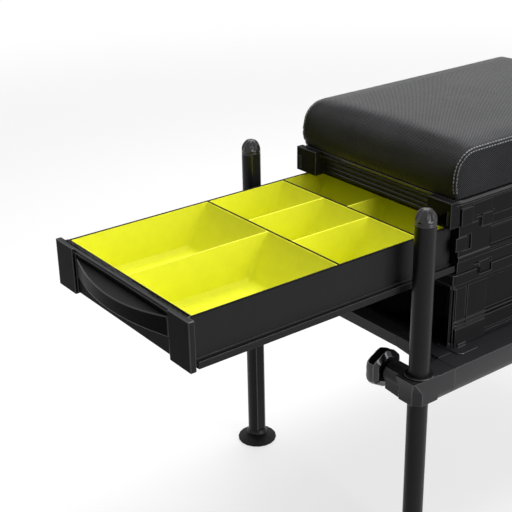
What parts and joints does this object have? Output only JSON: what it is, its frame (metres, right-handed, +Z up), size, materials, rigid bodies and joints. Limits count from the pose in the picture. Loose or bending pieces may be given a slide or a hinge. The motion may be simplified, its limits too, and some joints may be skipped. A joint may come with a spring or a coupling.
{
  "type": "fishing seat box",
  "caption": "Fishing seat box: a cushioned lid over stacked storage units with a pulled-out divided drawer, on a metal frame with clamped adjustable legs.",
  "frame": {"origin": "on the ground, under the middle of the box that bounds the whole object with its drawer pulled out", "axes": "+Z up; +X across the seat, towards the side seen nearest in the picture; the drawer opens towards -Y"},
  "size_m": [0.5428, 1.2908, 0.731],
  "materials": {
    "casing": "fine moulded texture, near black",
    "drawer_plastic": "smooth moulded, near black, soft gloss",
    "insert_lime": "smooth moulded, bright lime yellow",
    "rail_metal": "powder coat, dark satin",
    "bracket_metal": "cast and painted, dark gloss",
    "leg_metal": "anodised, near black, satin",
    "knob_plastic": "glossy moulded, near black",
    "bush_plastic": "smooth moulded, near black",
    "foot_rubber": "matt moulded rubber",
    "steel": "plain zinc-plated steel",
    "vinyl": "woven-effect vinyl over foam, pale double stitching"
  },
  "bodies": {
    "seat_frame": {"side_rail_right": "rail_metal", "side_rail_left": "rail_metal", "cross_rail_front": "rail_metal", "cross_rail_rear": "rail_metal", "deep_unit": "casing", "drawer_unit": "casing", "tray_unit": "casing", "hinge_box_leaf": "steel", "hinge_pin": "steel", "corner_bracket_front_right": "bracket_metal", "base_plate_front_right": "bracket_metal", "leg_bush_front_right": "bush_plastic", "corner_bracket_front_left": "bracket_metal", "base_plate_front_left": "bracket_metal", "leg_bush_front_left": "bush_plastic", "corner_bracket_rear_right": "bracket_metal", "base_plate_rear_right": "bracket_metal", "leg_bush_rear_right": "bush_plastic", "corner_bracket_rear_left": "bracket_metal", "base_plate_rear_left": "bracket_metal", "leg_bush_rear_left": "bush_plastic"},
    "drawer": {"drawer_body": "drawer_plastic", "drawer_front": "drawer_plastic", "drawer_handle": "drawer_plastic", "drawer_channel_right": "drawer_plastic", "drawer_channel_left": "drawer_plastic", "insert_front": "insert_lime", "insert_middle": "insert_lime", "insert_rear": "insert_lime"},
    "lid": {"lid_plate": "casing", "cushion": "vinyl", "hinge_lid_leaf": "steel"},
    "leg_front_right": {"leg_tube_front_right": "leg_metal", "leg_cap_front_right": "bush_plastic", "foot_socket_front_right": "bush_plastic"},
    "swivel_foot_front_right": {"foot_front_right": "foot_rubber"},
    "knob_front_right": {"clamp_knob_front_right": "knob_plastic"},
    "leg_front_left": {"leg_tube_front_left": "leg_metal", "leg_cap_front_left": "bush_plastic", "foot_socket_front_left": "bush_plastic"},
    "swivel_foot_front_left": {"foot_front_left": "foot_rubber"},
    "knob_front_left": {"clamp_knob_front_left": "knob_plastic"},
    "leg_rear_right": {"leg_tube_rear_right": "leg_metal", "leg_cap_rear_right": "bush_plastic", "foot_socket_rear_right": "bush_plastic"},
    "swivel_foot_rear_right": {"foot_rear_right": "foot_rubber"},
    "knob_rear_right": {"clamp_knob_rear_right": "knob_plastic"},
    "leg_rear_left": {"leg_tube_rear_left": "leg_metal", "leg_cap_rear_left": "bush_plastic", "foot_socket_rear_left": "bush_plastic"},
    "swivel_foot_rear_left": {"foot_rear_left": "foot_rubber"},
    "knob_rear_left": {"clamp_knob_rear_left": "knob_plastic"},
    "catch_upper_front_right": {"upper_catch_front_right": "casing"},
    "catch_upper_front_left": {"upper_catch_front_left": "casing"},
    "catch_upper_rear_right": {"upper_catch_rear_right": "casing"},
    "catch_upper_rear_left": {"upper_catch_rear_left": "casing"},
    "catch_lower_front_right": {"lower_catch_front_right": "casing"},
    "catch_lower_front_left": {"lower_catch_front_left": "casing"},
    "catch_lower_rear_right": {"lower_catch_rear_right": "casing"},
    "catch_lower_rear_left": {"lower_catch_rear_left": "casing"}
  },
  "joints": [
    {"name": "drawer_slide", "type": "slide", "parent": "seat_frame", "child": "drawer", "axis": [0, -1, 0], "range_m": [-0.533, 0]},
    {"name": "lid_hinge", "type": "hinge", "parent": "seat_frame", "child": "lid", "pos_m": [-0.211, 0.20785, 0.6365], "axis": [0, -1, 0], "range_deg": [0, 100]},
    {"name": "leg_slide_front_right", "type": "slide", "parent": "seat_frame", "child": "leg_front_right", "axis": [0, 0, 1], "range_m": [-0.26, 0.26]},
    {"name": "foot_tilt_front_right", "type": "hinge", "parent": "leg_front_right", "child": "swivel_foot_front_right", "pos_m": [0.232, -0.18975, 0.02], "axis": [1, 0, 0], "range_deg": [-12, 12]},
    {"name": "knob_turn_front_right", "type": "hinge", "parent": "seat_frame", "child": "knob_front_right", "pos_m": [0.15, -0.18975, 0.338], "axis": [1, 0, 0], "continuous": true},
    {"name": "leg_slide_front_left", "type": "slide", "parent": "seat_frame", "child": "leg_front_left", "axis": [0, 0, 1], "range_m": [-0.26, 0.26]},
    {"name": "foot_tilt_front_left", "type": "hinge", "parent": "leg_front_left", "child": "swivel_foot_front_left", "pos_m": [-0.232, -0.18975, 0.02], "axis": [1, 0, 0], "range_deg": [-12, 12]},
    {"name": "knob_turn_front_left", "type": "hinge", "parent": "seat_frame", "child": "knob_front_left", "pos_m": [-0.15, -0.18975, 0.338], "axis": [-1, 0, 0], "continuous": true},
    {"name": "leg_slide_rear_right", "type": "slide", "parent": "seat_frame", "child": "leg_rear_right", "axis": [0, 0, 1], "range_m": [-0.26, 0.26]},
    {"name": "foot_tilt_rear_right", "type": "hinge", "parent": "leg_rear_right", "child": "swivel_foot_rear_right", "pos_m": [0.232, 0.60545, 0.02], "axis": [1, 0, 0], "range_deg": [-12, 12]},
    {"name": "knob_turn_rear_right", "type": "hinge", "parent": "seat_frame", "child": "knob_rear_right", "pos_m": [0.15, 0.60545, 0.338], "axis": [1, 0, 0], "continuous": true},
    {"name": "leg_slide_rear_left", "type": "slide", "parent": "seat_frame", "child": "leg_rear_left", "axis": [0, 0, 1], "range_m": [-0.26, 0.26]},
    {"name": "foot_tilt_rear_left", "type": "hinge", "parent": "leg_rear_left", "child": "swivel_foot_rear_left", "pos_m": [-0.232, 0.60545, 0.02], "axis": [1, 0, 0], "range_deg": [-12, 12]},
    {"name": "knob_turn_rear_left", "type": "hinge", "parent": "seat_frame", "child": "knob_rear_left", "pos_m": [-0.15, 0.60545, 0.338], "axis": [-1, 0, 0], "continuous": true},
    {"name": "upper_catch_swing_front_right", "type": "hinge", "parent": "seat_frame", "child": "catch_upper_front_right", "pos_m": [0.2009, -0.00715, 0.6008], "axis": [0, -1, 0], "range_deg": [0, 40]},
    {"name": "upper_catch_swing_front_left", "type": "hinge", "parent": "seat_frame", "child": "catch_upper_front_left", "pos_m": [-0.2009, -0.00715, 0.6008], "axis": [0, 1, 0], "range_deg": [0, 40]},
    {"name": "upper_catch_swing_rear_right", "type": "hinge", "parent": "seat_frame", "child": "catch_upper_rear_right", "pos_m": [0.2009, 0.42285, 0.6008], "axis": [0, -1, 0], "range_deg": [0, 40]},
    {"name": "upper_catch_swing_rear_left", "type": "hinge", "parent": "seat_frame", "child": "catch_upper_rear_left", "pos_m": [-0.2009, 0.42285, 0.6008], "axis": [0, 1, 0], "range_deg": [0, 40]},
    {"name": "lower_catch_swing_front_right", "type": "hinge", "parent": "seat_frame", "child": "catch_lower_front_right", "pos_m": [0.2009, -0.00715, 0.5118], "axis": [0, -1, 0], "range_deg": [0, 40]},
    {"name": "lower_catch_swing_front_left", "type": "hinge", "parent": "seat_frame", "child": "catch_lower_front_left", "pos_m": [-0.2009, -0.00715, 0.5118], "axis": [0, 1, 0], "range_deg": [0, 40]},
    {"name": "lower_catch_swing_rear_right", "type": "hinge", "parent": "seat_frame", "child": "catch_lower_rear_right", "pos_m": [0.2009, 0.42285, 0.5118], "axis": [0, -1, 0], "range_deg": [0, 40]},
    {"name": "lower_catch_swing_rear_left", "type": "hinge", "parent": "seat_frame", "child": "catch_lower_rear_left", "pos_m": [-0.2009, 0.42285, 0.5118], "axis": [0, 1, 0], "range_deg": [0, 40]}
  ]
}
